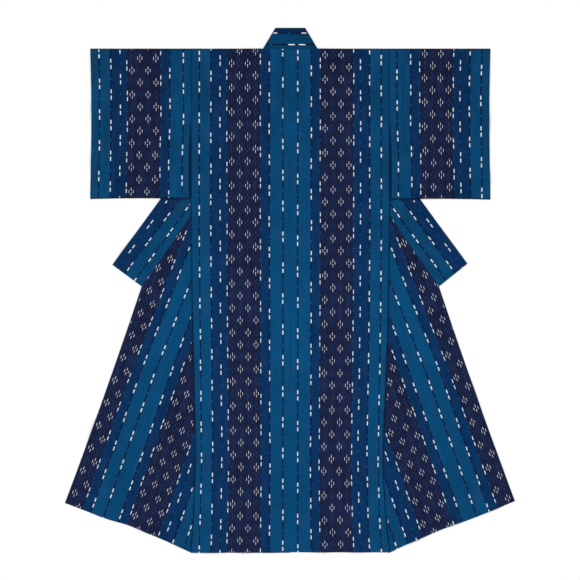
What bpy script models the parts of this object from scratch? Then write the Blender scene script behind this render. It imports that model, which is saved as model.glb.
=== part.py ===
"""Kimono laid flat with its back side up and both fronts turned outward beneath it.

Every panel is a sheet of cloth with a real wall. Its surface is a grid placed by rows and columns
that are worked out from the garment's cut, and Solidify gives it its thickness. The panels lie on
each other: the turned-out fronts and the collar on the floor, the rest of the fronts on them, the
back on top, and each sinks to the floor where nothing lies beneath it.
"""

import math

import bmesh
import bpy

# Cloth
WALL = 0.0010
SEAM_GAP = 0.0003
LAY_GAP = 0.0004
PITCH = WALL + LAY_GAP
FOLD_OUTER = WALL + LAY_GAP / 2
FOLD_INNER = LAY_GAP / 2
FOLD_STEPS = 4

# Body, from the shoulder fold down to the hem
BODY_LENGTH = 1.6480
HALF_BACK = 0.3255
BACK_HEM_RISE = {"left": 0.0, "right": 0.0015}
FRONT_WIDTH = 0.2890
OVERLAP_WIDTH = 0.1530
OVERLAP_EDGE = 0.7670
OVERLAP_BOW = 0.0035
OVERLAP_POINT_DROP = 0.2230
NECK_HALF = 0.0890
TURN_ANGLE = math.radians(9.75)

# Sleeves
SLEEVE_WIDTH = 0.3285
SLEEVE_DROP = {"left": 0.4915, "right": 0.4935}
WRIST_OPENING = 0.2300
ARMHOLE_SEAM = 0.2400
SLEEVE_PART = 0.0040

# Collar
COLLAR_STAND = 0.0680
COLLAR_TOP_HALF = 0.0490
STAND_FOOT_HALF = NECK_HALF - 0.0010
COLLAR_LEAN = math.radians(35)

# The flat garment is centred on the origin and rests on the plane z = 0
HEM_Y = -(BODY_LENGTH + COLLAR_STAND) / 2
SHOULDER_Y = HEM_Y + BODY_LENGTH
TOP_Y = SHOULDER_Y + COLLAR_STAND

# How a panel sinks beside the piece that lifts it
LIFT_MARGIN = 0.010
LIFT_RAMP = 0.060
FOLD_MARGIN = 0.004
FOLD_RAMP = 0.055

# Least width of a tapering row, how far a hidden edge stays inside the one above it, and how much
# the overlap's sharp upper point is cut back
LEAST_WIDTH = 0.003
HIDDEN_INSET = 0.001
POINT_BLUNT = 0.012

# Height above the hem, and how far each side seam sways in from the straight line
SIDE_SWAY = (
    {"height": 0.000, "left": 0.0000, "right": 0.0000},
    {"height": 0.097, "left": 0.0072, "right": 0.0115},
    {"height": 0.205, "left": 0.0124, "right": 0.0185},
    {"height": 0.310, "left": 0.0158, "right": 0.0225},
    {"height": 0.499, "left": 0.0124, "right": 0.0160},
    {"height": 0.663, "left": 0.0088, "right": 0.0092},
    {"height": 0.892, "left": 0.0036, "right": 0.0036},
    {"height": 1.160, "left": 0.0010, "right": 0.0012},
    {"height": 1.648, "left": 0.0010, "right": 0.0012},
)

# Distance in from the side seam, and how far the front's hem rises there on each side
FRONT_HEM = (
    {"across": 0.000, "left": 0.0000, "right": 0.0000},
    {"across": 0.058, "left": 0.0065, "right": 0.0070},
    {"across": 0.139, "left": 0.0118, "right": 0.0120},
    {"across": 0.219, "left": 0.0162, "right": 0.0162},
    {"across": 0.289, "left": 0.0128, "right": 0.0152},
    {"across": 0.442, "left": 0.0159, "right": 0.0228},
)

# The seam between the collar and the front, from the overlap's corner up to the neck point
COLLAR_SEAM = (
    {"height": 0.767, "across": 0.4420},
    {"height": 1.040, "across": 0.3680},
    {"height": 1.250, "across": 0.3240},
    {"height": 1.425, "across": 0.2885},
    {"height": 1.648, "across": 0.2365},
)

# Width of the open collar along that seam
COLLAR_WIDTH = (
    {"height": 0.767, "width": 0.1190},
    {"height": 1.040, "width": 0.1120},
    {"height": 1.530, "width": 0.0880},
)

# Collar round the neck, one side: outer edge and inner edge, with heights above the shoulder line
NECK = (
    {"outer_x": 0.0895, "outer_rise": 0.0000, "inner_x": 0.0380, "inner_rise": -0.0790},
    {"outer_x": 0.0490, "outer_rise": 0.0680, "inner_x": 0.0150, "inner_rise": -0.0430},
    {"outer_x": 0.0250, "outer_rise": 0.0680, "inner_x": 0.0070, "inner_rise": -0.0300},
    {"outer_x": 0.0000, "outer_rise": 0.0680, "inner_x": 0.0000, "inner_rise": -0.0195},
)

# Distance down from the shoulder, and how far the cuff edge bows in
CUFF_BOW = (
    {"drop": 0.000, "inset": 0.0000},
    {"drop": 0.142, "inset": 0.0036},
    {"drop": 0.300, "inset": 0.0033},
    {"drop": 0.491, "inset": 0.0000},
)

# Distance in from the cuff, and how far the sleeve's bottom edge bows up
SLEEVE_BOTTOM = (
    {"along": 0.000, "rise": 0.0000},
    {"along": 0.116, "rise": 0.0023},
    {"along": 0.229, "rise": 0.0023},
    {"along": 0.328, "rise": 0.0000},
)

# Body rows: wide apart low down, close together where the layers beneath change
LOW_ROWS = (0.0, 0.050, 0.110, 0.205, 0.310, 0.405, 0.499, 0.663, 0.780, 0.892, 0.990)
HIGH_ROW_STEP = 0.034
SHARE_OVER_FRONT = (0.0, 0.22, 0.42, 0.62, 0.82, 1.0)
SHARE_OF_RAMP = (0.0, 0.25, 0.5, 0.75, 1.0)
SHARE_TURNED_OUT = (0.34, 0.67, 1.0)
LOW_STEPS = 5
SEAM_STEPS = 8
SHARE_PAST_POINT = (0.34, 0.67, 1.0)
OVERLAP_COLUMNS = (1.0, 0.5, 0.0)
COLLAR_COLUMNS = (0.0, 0.33, 0.67, 1.0)
STAND_COLUMNS = (1.0, 0.67, 0.33, 0.0)
SLEEVE_COLUMNS = (0.0, 0.22, 0.42, 0.56, 0.66, 0.74, 0.82, 0.88, 0.94, 1.0)
SLEEVE_ROWS = (0.0, 0.16, 0.32, 0.47, 0.57, 0.66, 0.75, 0.83, 0.91, 1.0)

# Colour (linear), roughness of each piece's cloth
CLOTH = {
    "back": ((0.010, 0.060, 0.160), 0.78),
    "front": ((0.012, 0.052, 0.140), 0.78),
    "okumi": ((0.014, 0.040, 0.115), 0.78),
    "sleeve": ((0.010, 0.066, 0.175), 0.78),
    "collar": ((0.009, 0.072, 0.180), 0.78),
}


def read(table, key, value, column):
    """Smooth reading of one column of a table whose rows rise in the key column."""
    keys = [row[key] for row in table]
    values = [row[column] for row in table]
    value = min(max(value, keys[0]), keys[-1])
    i = max(k for k in range(len(keys) - 1) if keys[k] <= value)

    def slope(k):
        low, high = max(k - 1, 0), min(k + 1, len(keys) - 1)
        return (values[high] - values[low]) / (keys[high] - keys[low])

    span = keys[i + 1] - keys[i]
    t = (value - keys[i]) / span
    start, end = slope(i) * span, slope(i + 1) * span
    return ((2 * t**3 - 3 * t**2 + 1) * values[i] + (t**3 - 2 * t**2 + t) * start
            + (3 * t**2 - 2 * t**3) * values[i + 1] + (t**3 - t**2) * end)


def mix(a, b, t):
    return tuple(p + (q - p) * t for p, q in zip(a, b))


def sink(distance, margin, ramp):
    """1 over a lifting piece and just beside it, falling softly to 0 past the ramp."""
    t = min(max((distance - margin) / ramp, 0.0), 1.0)
    return 1.0 - t * t * (3.0 - 2.0 * t)


def turn_line_x(height):
    """Where the front is turned outward, at a height above the hem (left side)."""
    return -HALF_BACK + height * math.tan(TURN_ANGLE)


def turn_out(across, height):
    """A point of the front's cut, mirrored in the turn line (left side)."""
    along = across * math.sin(TURN_ANGLE) + height * math.cos(TURN_ANGLE)
    return (-HALF_BACK + 2 * along * math.sin(TURN_ANGLE) - across,
            HEM_Y + 2 * along * math.cos(TURN_ANGLE) - height)


def seam_across(height):
    return read(COLLAR_SEAM, "height", height, "across")


def crossing_height():
    """Height at which the collar seam meets the turn line."""
    low, high = OVERLAP_EDGE, BODY_LENGTH
    for _ in range(40):
        middle = (low + high) / 2
        if seam_across(middle) > middle * math.tan(TURN_ANGLE):
            low = middle
        else:
            high = middle
    return low


def hem_rise(side, across, height):
    """The front's hem rises; its rows follow, less and less up to the collar's end."""
    fade = 1.0 - min(height / OVERLAP_EDGE, 1.0)
    return read(FRONT_HEM, "across", across, side) * fade


CROSSING = crossing_height()
CROSSING_POINT = (turn_line_x(CROSSING), HEM_Y + CROSSING)
NECK_POINT = (-NECK_HALF, SHOULDER_Y)


def right_of(point, start, end):
    """Signed distance of a point to the right of the line from start to end."""
    dx, dy = end[0] - start[0], end[1] - start[1]
    return ((point[0] - start[0]) * dy - (point[1] - start[1]) * dx) / math.hypot(dx, dy)


def seam_heights():
    """Heights of the rows that meet along the collar seam of the overlap panel."""
    top = BODY_LENGTH - OVERLAP_POINT_DROP - POINT_BLUNT
    return [OVERLAP_EDGE + (top - OVERLAP_EDGE) * i / SEAM_STEPS for i in range(SEAM_STEPS + 1)]


def collar_rows():
    """Outer and inner edge of the collar's lower layer, from its left end to the centre back."""
    rows = []
    heights = seam_heights()
    start = heights[-1]
    heights += [start + (CROSSING - start) * share for share in SHARE_PAST_POINT]
    for height in heights:
        further = height + HIGH_ROW_STEP
        here = turn_out(seam_across(height), height)
        ahead = turn_out(seam_across(further), further)
        length = math.dist(here, ahead)
        normal = (-(ahead[1] - here[1]) / length, (ahead[0] - here[0]) / length)
        width = read(COLLAR_WIDTH, "height", height, "width")
        inner = (here[0] + normal[0] * SEAM_GAP, here[1] + normal[1] * SEAM_GAP)
        rows.append(((here[0] + normal[0] * width, here[1] + normal[1] * width), inner))
    for row in NECK:
        rows.append(((-row["outer_x"], SHOULDER_Y + row["outer_rise"]),
                     (-row["inner_x"], SHOULDER_Y + row["inner_rise"])))
    return rows


COLLAR_ROWS = collar_rows()
INNER_APEX = COLLAR_ROWS[-1][1]
FLAT_ROWS = len(NECK) - 1


def outer_edge_x(y):
    """The collar's outer edge on the left, read at a height y."""
    edge = [outer for outer, _ in COLLAR_ROWS[:-FLAT_ROWS + 1]]
    i = max([0] + [k for k in range(len(edge) - 1) if edge[k][1] <= y])
    (x0, y0), (x1, y1) = edge[i], edge[i + 1]
    return x0 + (x1 - x0) * (y - y0) / (y1 - y0)


def over_wing(x, y):
    """How much the turned-out front and the collar beneath lift what lies on them."""
    x = -abs(x)
    past_turn = (x - turn_line_x(y - HEM_Y)) * math.cos(TURN_ANGLE)
    past_inner = right_of((x, y), CROSSING_POINT, INNER_APEX)
    past_outer = (outer_edge_x(y) - x) * math.cos(COLLAR_LEAN)
    inside = sink(min(past_turn, past_inner), FOLD_MARGIN, FOLD_RAMP)
    return inside * sink(past_outer, LIFT_MARGIN, LIFT_RAMP)


def over_front(x, y):
    """How much the part of the front that isn't turned out lifts the back."""
    x = -abs(x)
    past_turn = (x - turn_line_x(y - HEM_Y)) * math.cos(TURN_ANGLE)
    past_seam = right_of((x, y), CROSSING_POINT, NECK_POINT)
    past = max(past_turn, past_seam) if y > CROSSING_POINT[1] else past_turn
    return sink(max(past, y - SHOULDER_Y), FOLD_MARGIN, FOLD_RAMP)


def body_rows():
    """Heights above the hem of the body's rows; one of them is just under the crossing."""
    top = BODY_LENGTH - FOLD_OUTER
    last_open = CROSSING - LEAST_WIDTH
    rows = list(LOW_ROWS)
    count = math.ceil((last_open - rows[-1]) / HIGH_ROW_STEP)
    start = rows[-1]
    rows += [start + (last_open - start) * (i + 1) / count for i in range(count)]
    count = math.ceil((top - last_open) / HIGH_ROW_STEP)
    rows += [last_open + (top - last_open) * (i + 1) / count for i in range(count)]
    return rows


ROWS = body_rows()
OPEN_ROWS = sum(1 for height in ROWS if height < CROSSING)


def side_x(side, height):
    return -HALF_BACK + read(SIDE_SWAY, "height", height, side)


def front_edge_x(side, height):
    """Right edge of the front under the back: the turn line, then the collar seam."""
    edge = turn_line_x(height)
    if height > CROSSING:
        share = (height - CROSSING) / (BODY_LENGTH - CROSSING)
        edge = mix(CROSSING_POINT, NECK_POINT, share)[0]
    return max(edge, side_x(side, height) + LEAST_WIDTH)


def clear_scene():
    for item in list(bpy.data.objects):
        bpy.data.objects.remove(item, do_unlink=True)


def material(name, kind):
    colour, roughness = CLOTH[kind]
    cloth = bpy.data.materials.new(name)
    cloth.use_nodes = True
    shader = cloth.node_tree.nodes["Principled BSDF"]
    shader.inputs["Base Color"].default_value = (*colour, 1.0)
    shader.inputs["Roughness"].default_value = roughness
    shader.inputs["Metallic"].default_value = 0.0
    return cloth


def sheet(name, kind, points, collection, absent=None, right=False, outward=True, cap=None):
    """A cloth sheet through rows of points, with a wall grown along its normals.

    absent(row, column) leaves a cell of the grid out, right mirrors the left-hand shape, outward
    False grows the wall the other way, and cap(work, table) adds the faces that close an end.
    """
    rows, columns = len(points), len(points[0])
    mesh = bpy.data.meshes.new(name)
    work = bmesh.new()
    made = bmesh.ops.create_grid(work, x_segments=columns - 1, y_segments=rows - 1, size=1)
    grid = sorted(made["verts"], key=lambda v: (round(v.co.y, 5), round(v.co.x, 5)))
    table = [grid[r * columns:(r + 1) * columns] for r in range(rows)]
    if absent:
        places = {vertex: (r, c) for r, line in enumerate(table) for c, vertex in enumerate(line)}
        out = [face for face in work.faces
               if absent(*(min(places[v][axis] for v in face.verts) for axis in (0, 1)))]
        bmesh.ops.delete(work, geom=out, context="FACES")
    for line, row in zip(table, points):
        for vertex, point in zip(line, row):
            if vertex.is_valid:
                vertex.co = point
    if cap:
        cap(work, table)
    bmesh.ops.remove_doubles(work, verts=work.verts, dist=0.000002)
    if right:
        bmesh.ops.scale(work, vec=(-1, 1, 1), verts=work.verts)
        bmesh.ops.reverse_faces(work, faces=work.faces)
    work.to_mesh(mesh)
    work.free()
    piece = bpy.data.objects.new(name, mesh)
    collection.objects.link(piece)
    mesh.materials.append(material(name, kind))
    wall = piece.modifiers.new("Wall", "SOLIDIFY")
    wall.thickness = WALL
    wall.offset = 1.0 if outward else -1.0
    wall.use_even_offset = True
    mesh.shade_smooth()
    mesh.set_sharp_from_angle(angle=math.radians(30))
    return piece


def back_columns(side, height):
    """The back's columns: over the front, down the ramp beside its turn, and to the centre."""
    y = HEM_Y + max(height, BACK_HEM_RISE[side])
    start, edge = side_x(side, height), front_edge_x(side, height)
    over = [start + (edge - start) * share for share in SHARE_OVER_FRONT]
    ramp = [edge + FOLD_MARGIN + FOLD_RAMP * share for share in SHARE_OF_RAMP]
    centre = -SEAM_GAP / 2
    ramp = [min(x, centre - LEAST_WIDTH) for x in ramp]
    return [(x, y) for x in over + ramp + [centre]]


def make_back(side, collection):
    points = []
    for height in ROWS:
        row = []
        for x, y in back_columns(side, height):
            row.append((x, y, PITCH * (over_wing(x, y) + over_front(x, y))))
        points.append(row)
    top = points[-1]
    for step in range(1, FOLD_STEPS + 1):
        turn = math.pi * step / FOLD_STEPS
        points.append([(x, y + FOLD_INNER * math.sin(turn), z - FOLD_INNER * (1 - math.cos(turn)))
                       for x, y, z in top])
    fold_start = len(ROWS) - 1
    over = len(SHARE_OVER_FRONT) - 1
    sheet("back_" + side, "back", points, collection, right=side == "right",
          absent=lambda r, c: r >= fold_start and c >= over)


def make_front(side, collection):
    """The front: the part under the back, the turn, and the part that is turned out."""
    normal = (math.cos(TURN_ANGLE), -math.sin(TURN_ANGLE))
    points = []
    for height in ROWS:
        height = min(height, BODY_LENGTH - FOLD_OUTER - SEAM_GAP)
        y = HEM_Y + height
        start = side_x(side, height) + HIDDEN_INSET
        edge = front_edge_x(side, height)
        row = []
        for share in SHARE_OVER_FRONT:
            x = side_x(side, height) + (edge - side_x(side, height)) * share
            x = max(x, start)
            row.append((x, y, PITCH * over_wing(x, y) + WALL))
        for step in range(1, FOLD_STEPS + 1):
            turn = math.pi * step / FOLD_STEPS
            out = FOLD_OUTER * math.sin(turn)
            row.append((edge + normal[0] * out, y + normal[1] * out,
                        FOLD_OUTER * (1 + math.cos(turn))))
        across = min(FRONT_WIDTH - SEAM_GAP / 2, seam_across(height) - SEAM_GAP)
        for share in SHARE_TURNED_OUT:
            u = (edge + HALF_BACK) + (across - edge - HALF_BACK) * share
            row.append((*turn_out(u, height + hem_rise(side, u, height)), 0.0))
        points.append(row)
    under = len(SHARE_OVER_FRONT) - 1
    sheet("front_" + side, "front", points, collection, right=side == "right",
          outward=False, absent=lambda r, c: r >= OPEN_ROWS - 1 and c >= under)


def make_overlap(side, collection):
    """The overlap panel: straight to the collar's end, then cut off along the collar seam."""
    low = [OVERLAP_EDGE * i / LOW_STEPS for i in range(LOW_STEPS)]
    inner = FRONT_WIDTH + SEAM_GAP / 2
    points = []
    for height in low + seam_heights():
        up = min(height / OVERLAP_EDGE, 1.0)
        straight = FRONT_WIDTH + OVERLAP_WIDTH - OVERLAP_BOW * 4 * up * (1 - up)
        outer = min(straight, seam_across(height) - SEAM_GAP)
        row = []
        for share in OVERLAP_COLUMNS:
            u = inner + (outer - inner) * share
            row.append((*turn_out(u, height + hem_rise(side, u, height)), 0.0))
        points.append(row)
    sheet("okumi_" + side, "okumi", points, collection, right=side == "right")


def make_sleeve(side, collection):
    """A flattened tube: lower layer, shoulder fold, upper layer, bottom seam."""
    length = SLEEVE_DROP[side]

    def place(share_down, share_in):
        drop = length * share_down
        body = side_x(side, BODY_LENGTH - drop)
        past = max(0.0, (drop - ARMHOLE_SEAM) / (length - ARMHOLE_SEAM))
        inner = body - SEAM_GAP - (SLEEVE_PART - SEAM_GAP) * min(1.0, 2.0 * past)
        cuff = -HALF_BACK - SLEEVE_WIDTH + read(CUFF_BOW, "drop", drop, "inset")
        x = cuff + (inner - cuff) * share_in
        rise = read(SLEEVE_BOTTOM, "along", SLEEVE_WIDTH * share_in, "rise") * share_down
        inset = FOLD_OUTER * (1 - 2 * share_down)
        return x, SHOULDER_Y - drop + rise - inset

    def layer(share_down, height):
        row = []
        for share_in in SLEEVE_COLUMNS:
            x, y = place(share_down, share_in)
            row.append((x, y, PITCH * over_wing(x, y) + height))
        return row

    def fold(share_down, outward_y):
        """Half round rows from one layer to the other; outward_y is the way that they bulge."""
        lines = []
        for step in range(1, FOLD_STEPS):
            turn = math.pi * step / FOLD_STEPS
            level = FOLD_OUTER - math.cos(turn) * FOLD_OUTER * outward_y
            bulge = FOLD_OUTER * math.sin(turn) * outward_y
            lines.append([(x, y + bulge, z + level) for x, y, z in layer(share_down, 0.0)])
        return lines

    upper = 2 * FOLD_OUTER
    points = [layer(share, 0.0) for share in reversed(SLEEVE_ROWS)]
    points += fold(0.0, 1)
    points += [layer(share, upper) for share in SLEEVE_ROWS]
    points += fold(1.0, -1)
    points.append(points[0])
    count = len(SLEEVE_ROWS)

    def close_cuff(work, table):
        """Close the cuff edge below the wrist opening."""
        wrist = WRIST_OPENING / length
        lower = [table[count - 1 - i][0] for i in range(count)]
        first_upper = count + FOLD_STEPS - 1
        higher = [table[first_upper + i][0] for i in range(count)]
        closed = [i for i in range(count - 1) if SLEEVE_ROWS[i] >= wrist]
        for i in closed:
            work.faces.new((lower[i], higher[i], higher[i + 1], lower[i + 1]))
        bottom = [table[first_upper + count + k][0] for k in range(FOLD_STEPS - 1)]
        work.faces.new([lower[-1], higher[-1]] + bottom)

    sheet("sleeve_" + side, "sleeve", points, collection, right=side == "right",
          cap=close_cuff)


def make_collar(collection):
    """One band: turned out on the left, folded down at the back neck, turned out on the right."""
    half = COLLAR_ROWS
    rows = half + [((-o[0], o[1]), (-i[0], i[1])) for o, i in reversed(half[:-1])]
    first = len(half) - FLAT_ROWS
    last = len(rows) - 1 - first
    stand_top = TOP_Y - FOLD_OUTER
    stand_foot = SHOULDER_Y - FOLD_OUTER + SEAM_GAP
    points = []
    for index, (outer, inner) in enumerate(rows):
        row = []
        foot_x = outer[0] * STAND_FOOT_HALF / COLLAR_TOP_HALF
        for share in STAND_COLUMNS:
            x, y = mix((outer[0], stand_top), (foot_x, stand_foot), share)
            row.append((x, y, WALL + PITCH * (1 + over_front(x, y))))
        for step in range(1, FOLD_STEPS):
            turn = math.pi * step / FOLD_STEPS
            row.append((outer[0], stand_top + FOLD_OUTER * math.sin(turn),
                        FOLD_OUTER * (1 + math.cos(turn))))
        folded = first <= index <= last
        edge_y = stand_top if folded else outer[1]
        for share in COLLAR_COLUMNS:
            x, y = mix((outer[0], edge_y), inner, share)
            row.append((x, y, 0.0))
        points.append(row)
    stand_columns = len(STAND_COLUMNS) - 1 + FOLD_STEPS
    sheet("collar", "collar", points, collection,
          absent=lambda r, c: c < stand_columns and not first <= r < last)


def main():
    clear_scene()
    collection = bpy.data.collections.new("kimono")
    bpy.context.scene.collection.children.link(collection)
    for side in ("left", "right"):
        make_front(side, collection)
        make_overlap(side, collection)
        make_back(side, collection)
        make_sleeve(side, collection)
    make_collar(collection)


main()
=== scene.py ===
import math
from functools import partial

import bmesh
import bpy
from mathutils import Matrix, Vector


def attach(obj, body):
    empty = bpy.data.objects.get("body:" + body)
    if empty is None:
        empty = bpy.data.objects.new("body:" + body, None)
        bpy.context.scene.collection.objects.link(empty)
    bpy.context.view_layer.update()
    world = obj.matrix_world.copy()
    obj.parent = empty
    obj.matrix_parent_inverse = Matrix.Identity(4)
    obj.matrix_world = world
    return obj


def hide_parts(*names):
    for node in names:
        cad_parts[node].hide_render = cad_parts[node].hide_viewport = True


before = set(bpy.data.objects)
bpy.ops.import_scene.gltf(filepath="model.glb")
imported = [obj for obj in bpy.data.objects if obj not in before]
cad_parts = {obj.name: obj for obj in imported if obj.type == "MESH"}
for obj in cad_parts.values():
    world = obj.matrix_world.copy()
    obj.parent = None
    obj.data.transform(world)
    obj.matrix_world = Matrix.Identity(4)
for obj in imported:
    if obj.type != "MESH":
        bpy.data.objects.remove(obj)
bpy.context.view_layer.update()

# Camera, light and ground. The kimono lies spread on a white ground and is seen square on from
# straight above, under broad even light that falls a little more from the upper left.
PIXELS = 580
PIXEL = 0.00327
MIDDLE_PIXEL = 290.3
LENS = 100.0
SENSOR = 36.0
CLIP_END = 100.0
GROUND_SIZE = 200.0
GROUND_LEVEL = -0.0004
GROUND_PAPER = {"Base Color": (0.93, 0.93, 0.93, 1.0), "Roughness": 0.9, "Specular IOR Level": 0.1}
LIGHTS = (
    {"name": "key_light", "strength": 1.55, "tilt": 38, "turn": 40, "spread": 30},
    {"name": "fill_light", "strength": 0.85, "tilt": 42, "turn": -130, "spread": 40},
)
SKY = {"Color": (1.0, 1.0, 1.0, 1.0), "Strength": 0.50}


def set_sockets(node, values):
    """Plain values on a node's own sockets, by their names."""
    for name, value in values.items():
        node.inputs[name].default_value = value


view_width = PIXELS * PIXEL
off_middle = (PIXELS / 2 - MIDDLE_PIXEL) * PIXEL
camera_data = bpy.data.cameras.new("camera")
camera_data.lens = LENS
camera_data.sensor_width = SENSOR
camera_data.clip_end = CLIP_END
camera = bpy.data.objects.new("camera", camera_data)
camera.location = (off_middle, -off_middle, view_width * LENS / SENSOR)
bpy.context.scene.collection.objects.link(camera)
bpy.context.scene.camera = camera
bpy.context.scene.view_settings.view_transform = "Standard"

for row in LIGHTS:
    light_data = bpy.data.lights.new(row["name"], "SUN")
    light_data.energy = row["strength"]
    light_data.angle = math.radians(row["spread"])
    light = bpy.data.objects.new(row["name"], light_data)
    light.rotation_euler = (0.0, math.radians(-row["tilt"]), math.radians(-row["turn"]))
    bpy.context.scene.collection.objects.link(light)

sky = bpy.data.worlds.new("studio")
sky.use_nodes = True
set_sockets(sky.node_tree.nodes["Background"], SKY)
bpy.context.scene.world = sky

bpy.ops.object.select_all(action="DESELECT")
bpy.ops.mesh.primitive_plane_add(size=GROUND_SIZE, location=(0.0, 0.0, GROUND_LEVEL))
ground = bpy.context.object
ground.name = "ground"
paper = bpy.data.materials.new("ground_paper")
paper.use_nodes = True
set_sockets(paper.node_tree.nodes["Principled BSDF"], GROUND_PAPER)
ground.data.materials.append(paper)


# Overlap panels. Half a bolt's width of hand-woven indigo silk on each side, sewn to the front's
# free edge and cut off aslant along the collar; turned outward, they lie flat on the ground.
WALL = 0.0010
SEAM_GAP = 0.00005
BODY_LENGTH = 1.6480
COLLAR_STAND = 0.0680
HEM_Y = -(BODY_LENGTH + COLLAR_STAND) / 2
SHOULDER_Y = HEM_Y + BODY_LENGTH
HALF_BACK = 0.3255
FRONT_WIDTH = 0.2890
OVERLAP_WIDTH = 0.1530
OVERLAP_EDGE = 0.7670
OVERLAP_BOW = 0.0035
OVERLAP_POINT_DROP = 0.2230
POINT_BLUNT = 0.012
OVERLAP_COLUMNS = 14
OVERLAP_LOW_ROWS = 62
SEAM_ROWS = 56
OVERLAP_CUT = 0.0065
OVERLAP_SKEW = 0.033
SKEW_FROM = 0.500
OKUMI_START = {"left": 0.037, "right": 0.061}
TURN_ANGLE = math.radians(9.75)
SLEEVE_DROP = {"left": 0.4915, "right": 0.4935}
WOVEN_WIDTH = 0.3254

# A free edge counts as FREE_EDGE further off, so the painted shade along it is fainter, and an edge that
# isn't there as FAR off, so no painted shade is put along it. The first rows of every cloth lie close to
# its edges.
FREE_EDGE = 0.0035
FAR = 1.0
CLOSE_ROWS = (0.0, 0.0015, 0.0045)
CLOSE_FIT = 0.020
MERGE_DISTANCE = 0.000002
SMOOTH_ANGLE = math.radians(40)


def rows_of(columns, *rows):
    """A table: rows of values, each value under its column's name."""
    return [dict(zip(columns.split(), row)) for row in rows]


# Distance in from the side seam, and how far the front's hem rises there on each side
FRONT_HEM = rows_of("across left right",
                    (0.000, 0.0000, 0.0000), (0.058, 0.0065, 0.0070), (0.139, 0.0118, 0.0120),
                    (0.219, 0.0162, 0.0162), (0.289, 0.0128, 0.0152), (0.442, 0.0159, 0.0228))

# The seam between the collar and the front, from the overlap's corner up to the neck point
COLLAR_SEAM = rows_of("height across", (0.767, 0.4420), (1.040, 0.3680), (1.250, 0.3240),
                      (1.425, 0.2885), (1.648, 0.2365))

# Height above the hem, and how far each side seam of the back sways in from the straight line
SIDE_SWAY = rows_of("height left right",
                    (0.000, 0.0000, 0.0000), (0.097, 0.0072, 0.0115), (0.205, 0.0124, 0.0185),
                    (0.310, 0.0158, 0.0225), (0.499, 0.0124, 0.0160), (0.663, 0.0088, 0.0092),
                    (0.892, 0.0036, 0.0036), (1.160, 0.0010, 0.0012), (1.648, 0.0010, 0.0012))


def ridge_rows(*rows_mm):
    """Ridges laid out as on the left, in millimetres: x and y of both ends, half width and rise."""
    return [[value / 1000 for value in row] for row in rows_mm]


# Soft ridges that handling left in the turned-out part
WING_RIDGES = {
    "left": ridge_rows(
        (-372, -20, -455, -560, 44, 4.0), (-430, -300, -590, -660, 55, 5.1),
        (-350, -480, -385, -800, 31, 2.9), (-390, 240, -500, 60, 37, 3.6),
        (-520, -610, -660, -700, 41, 3.6), (-365, -960, -385, -520, 26, 5.2),
        (-495, -900, -455, -540, 30, 6.0), (-640, -830, -560, -520, 28, 5.0),
        (-800, -500, -560, -430, 34, 4.6), (-600, 100, -420, 170, 28, 4.4)),
    "right": ridge_rows(
        (-365, 60, -480, -420, 51, 4.7), (-460, -360, -560, -760, 41, 3.6),
        (-345, -420, -400, -830, 37, 4.4), (-400, 205, -520, 30, 44, 3.2),
        (-560, -470, -690, -650, 47, 4.4), (-410, -950, -400, -560, 30, 5.8),
        (-560, -900, -490, -500, 28, 5.2), (-690, -800, -600, -480, 26, 4.8),
        (-740, -380, -520, -300, 36, 4.4), (-580, 60, -430, 190, 26, 4.2)),
}
RIDGE_TAPER = 1.3
EDGE_PUFF = 0.00045
EDGE_PUFF_WIDTH = 0.006
COVER_MARGIN = 0.006
COVER_RAMP = 0.030

# The bolt's bands: where each starts, in millimetres from the inner selvedge, and its dye
BANDS = (
    (0.0, "teal"), (22.3, "line"), (26.7, "teal"), (66.5, "line"), (70.9, "mid"),
    (98.0, "dark"), (207.6, "mid"), (228.6, "faint"), (231.4, "mid"),
    (257.8, "line"), (262.2, "sea"), (295.8, "line"), (300.2, "sea"),
)
DYES = {
    "teal": (1, 68, 110),
    "sea": (2, 67, 108),
    "mid": (2, 45, 87),
    "dark": (22, 29, 59),
    "line": (10, 18, 54),
    "faint": (10, 32, 70),
    "undyed": (236, 239, 241),
    "pale_blue": (6, 96, 156),
    "plum": (42, 60, 104),
    # painted shade, darkening edges, slits and the cloth beside parts that lie on it
    "painted_shade": (5, 12, 36),
}
BOLT_MM = 330.0
BAND_BLUR_MM = 0.5

# Resist-dyed marks: rows of paired dashes along the lines and the dark band's edges, with each row's
# place across, its shift along in repeats and half a mark's width; a blue dot follows each pair
REPEAT_MM = 101.0
DASH_ROWS = rows_of("across phase half", (24.5, 0.00, 1.75), (68.7, 0.50, 1.60), (98.0, 0.25, 1.30),
                    (207.6, 0.75, 1.30), (230.0, 0.30, 1.55), (260.0, 0.80, 1.60), (298.0, 0.15, 1.75))
DASH_SOFT_MM = 0.5
PAIR_OF_DASHES = ((0.000, 0), (0.050, 0), (0.075, 1), (0.175, 1), (0.200, 0),
                  (0.255, 0), (0.280, 1), (0.380, 1), (0.405, 0))
DOT_PLACE = 0.72
DOT_HALF_MM = 1.9
DOT_SOFT_MM = 1.2
BLUE_SHARE = 0.95

# Four files of lozenges down the dark band, each of four dashes: one, two beside it, and one.
# REPEATS_BEFORE keeps every place along above 0.
LOZENGE_MIDDLE_MM = 152.8
LOZENGE_FILES_MM = 104.0
LOZENGE_FILE_MM = 26.0
LOZENGE_REPEAT_MM = 80.0
LOZENGE_COLUMN_MM = 7.0
LOZENGE_DASH_MM = 16.5
LOZENGE_DASH_HALF_MM = 5.0
LOZENGE_DASH_SOFT_MM = 1.6
LOZENGE_MARK_HALF_MM = 0.60
LOZENGE_MARK_SOFT_MM = 0.7
LOZENGE_REACH = 0.6
REPEATS_BEFORE = 40.0

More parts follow.
